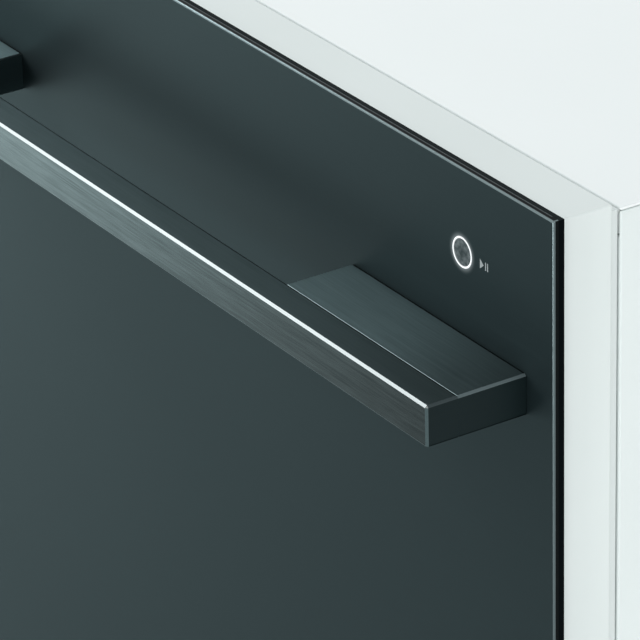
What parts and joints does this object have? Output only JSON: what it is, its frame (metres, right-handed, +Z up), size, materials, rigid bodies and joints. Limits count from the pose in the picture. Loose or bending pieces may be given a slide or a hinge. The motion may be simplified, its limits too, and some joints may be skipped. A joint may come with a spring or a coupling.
{
  "type": "trash compactor",
  "caption": "Built-in drawer trash compactor with a dark brushed steel front, a square bar handle, a ring-lit start button and a screw-driven ram.",
  "frame": {"origin": "middle of the footprint, handle included, on the floor", "axes": "+Z up; -Y is the front, the way the drawer opens; +X is to the right as seen from the front"},
  "size_m": [0.451, 0.6514, 0.87],
  "materials": {
    "black_steel": "horizontally brushed, black stainless",
    "black_plastic": "matte",
    "white_plastic": "satin",
    "white_paint": "fine powder coat",
    "zinc_steel": "zinc plated",
    "frame_paint": "dark powder coat",
    "machined_steel": "oiled machined steel",
    "bronze": "machined bronze",
    "grey_plastic": "satin",
    "nylon": "satin",
    "rubber": "matte",
    "white_rubber": "soft, matte",
    "light_guide": "lit from behind",
    "charcoal": "granular",
    "motor_metal": "cast, painted grey"
  },
  "bodies": {
    "cabinet": {"runner_left": "zinc_steel", "runner_right": "zinc_steel", "side_panel_left": "white_paint", "side_panel_right": "white_paint", "rear_panel": "white_paint", "top_cover": "white_paint", "worktop_bracket_left": "zinc_steel", "worktop_bracket_right": "zinc_steel", "toe_kick": "black_plastic", "base_frame": "frame_paint", "base_cover": "zinc_steel", "top_channel": "frame_paint", "lower_bearing_left": "bronze", "upper_bearing_left": "bronze", "lower_bearing_right": "bronze", "upper_bearing_right": "bronze", "drive_chain": "machined_steel", "drive_motor": "motor_metal", "top_limit_switch": "black_plastic", "drawer_switch": "black_plastic", "fan_housing": "black_plastic", "charcoal_filter": "charcoal", "cord_gland": "black_plastic"},
    "drawer": {"front_skin": "black_steel", "front_backing_board": "black_plastic", "inner_liner": "white_plastic", "drawer_gasket": "white_rubber", "control_module": "black_plastic", "light_ring": "light_guide", "handle_bar": "black_steel", "handle_block_left": "black_steel", "handle_block_right": "black_steel", "handle_screw_left_outer": "zinc_steel", "handle_screw_left_inner": "zinc_steel", "handle_screw_right_outer": "zinc_steel", "handle_screw_right_inner": "zinc_steel", "drawer_frame": "zinc_steel", "bin": "grey_plastic", "bag_retainer": "black_plastic"},
    "ram": {"ram_plate": "zinc_steel", "ram_box": "frame_paint", "ram_beam": "frame_paint", "power_nut_left": "bronze", "power_nut_right": "bronze"},
    "start_button": {"start_button": "black_steel"},
    "screw_left": {"power_screw_left": "machined_steel", "screw_sprocket_left": "machined_steel"},
    "screw_right": {"power_screw_right": "machined_steel", "screw_sprocket_right": "machined_steel"},
    "gear": {"drive_gear": "machined_steel"},
    "pinion": {"motor_pinion": "machined_steel"},
    "fan": {"odour_fan": "grey_plastic"},
    "front_roller_left": {"front_roller_left": "nylon"},
    "rear_roller_left": {"rear_roller_left": "nylon"},
    "foot_left": {"levelling_foot_left": "machined_steel"},
    "wheel_left": {"rear_wheel_left": "rubber"},
    "front_roller_right": {"front_roller_right": "nylon"},
    "rear_roller_right": {"rear_roller_right": "nylon"},
    "foot_right": {"levelling_foot_right": "machined_steel"},
    "wheel_right": {"rear_wheel_right": "rubber"}
  },
  "joints": [
    {"name": "drawer_slide", "type": "slide", "parent": "cabinet", "child": "drawer", "axis": [0, -1, 0], "range_m": [0, 0.4]},
    {"name": "ram_travel", "type": "slide", "parent": "cabinet", "child": "ram", "axis": [0, 0, -1], "range_m": [0, 0.27]},
    {"name": "start_button_press", "type": "slide", "parent": "drawer", "child": "start_button", "axis": [0, 1, 0], "range_m": [0, 0.0012], "stiffness_N_per_m": 400, "springref_m": -0.002},
    {"name": "screw_left_spin", "type": "hinge", "parent": "cabinet", "child": "screw_left", "pos_m": [-0.19, -0.05149, 0.4], "axis": [0, 0, 1], "continuous": true},
    {"name": "screw_right_spin", "type": "hinge", "parent": "cabinet", "child": "screw_right", "pos_m": [0.19, -0.05149, 0.4], "axis": [0, 0, 1], "continuous": true},
    {"name": "gear_spin", "type": "hinge", "parent": "cabinet", "child": "gear", "pos_m": [0, 0.17807, 0.08], "axis": [0, 0, 1], "continuous": true},
    {"name": "pinion_spin", "type": "hinge", "parent": "cabinet", "child": "pinion", "pos_m": [0, 0.24697, 0.08], "axis": [0, 0, 1], "continuous": true},
    {"name": "front_roller_left_spin", "type": "hinge", "parent": "cabinet", "child": "front_roller_left", "pos_m": [-0.1595, -0.23475, 0.1203], "axis": [1, 0, 0], "continuous": true},
    {"name": "rear_roller_left_spin", "type": "hinge", "parent": "drawer", "child": "rear_roller_left", "pos_m": [-0.1595, 0.21117, 0.1161], "axis": [1, 0, 0], "continuous": true},
    {"name": "front_roller_right_spin", "type": "hinge", "parent": "cabinet", "child": "front_roller_right", "pos_m": [0.1595, -0.23475, 0.1203], "axis": [1, 0, 0], "continuous": true},
    {"name": "rear_roller_right_spin", "type": "hinge", "parent": "drawer", "child": "rear_roller_right", "pos_m": [0.1595, 0.21117, 0.1161], "axis": [1, 0, 0], "continuous": true},
    {"name": "wheel_left_spin", "type": "hinge", "parent": "cabinet", "child": "wheel_left", "pos_m": [-0.1815, 0.27395, 0.025], "axis": [1, 0, 0], "continuous": true},
    {"name": "wheel_right_spin", "type": "hinge", "parent": "cabinet", "child": "wheel_right", "pos_m": [0.1815, 0.27395, 0.025], "axis": [1, 0, 0], "continuous": true},
    {"name": "foot_left_extend", "type": "slide", "parent": "cabinet", "child": "foot_left", "axis": [0, 0, -1], "range_m": [0, 0.015]},
    {"name": "foot_right_extend", "type": "slide", "parent": "cabinet", "child": "foot_right", "axis": [0, 0, -1], "range_m": [0, 0.015]},
    {"name": "fan_spin", "type": "hinge", "parent": "cabinet", "child": "fan", "pos_m": [-0.118, 0.30895, 0.69], "axis": [0, 1, 0], "continuous": true}
  ],
  "couplings": [
    {"joint": "screw_left_spin", "follows": "ram_travel", "rad_per_m": 247.37},
    {"joint": "screw_right_spin", "follows": "ram_travel", "rad_per_m": 247.37},
    {"joint": "gear_spin", "follows": "ram_travel", "rad_per_m": 247.37},
    {"joint": "pinion_spin", "follows": "ram_travel", "rad_per_m": -989.48},
    {"joint": "front_roller_left_spin", "follows": "drawer_slide", "rad_per_m": 76.923},
    {"joint": "rear_roller_left_spin", "follows": "drawer_slide", "rad_per_m": 76.923},
    {"joint": "front_roller_right_spin", "follows": "drawer_slide", "rad_per_m": 76.923},
    {"joint": "rear_roller_right_spin", "follows": "drawer_slide", "rad_per_m": 76.923}
  ]
}
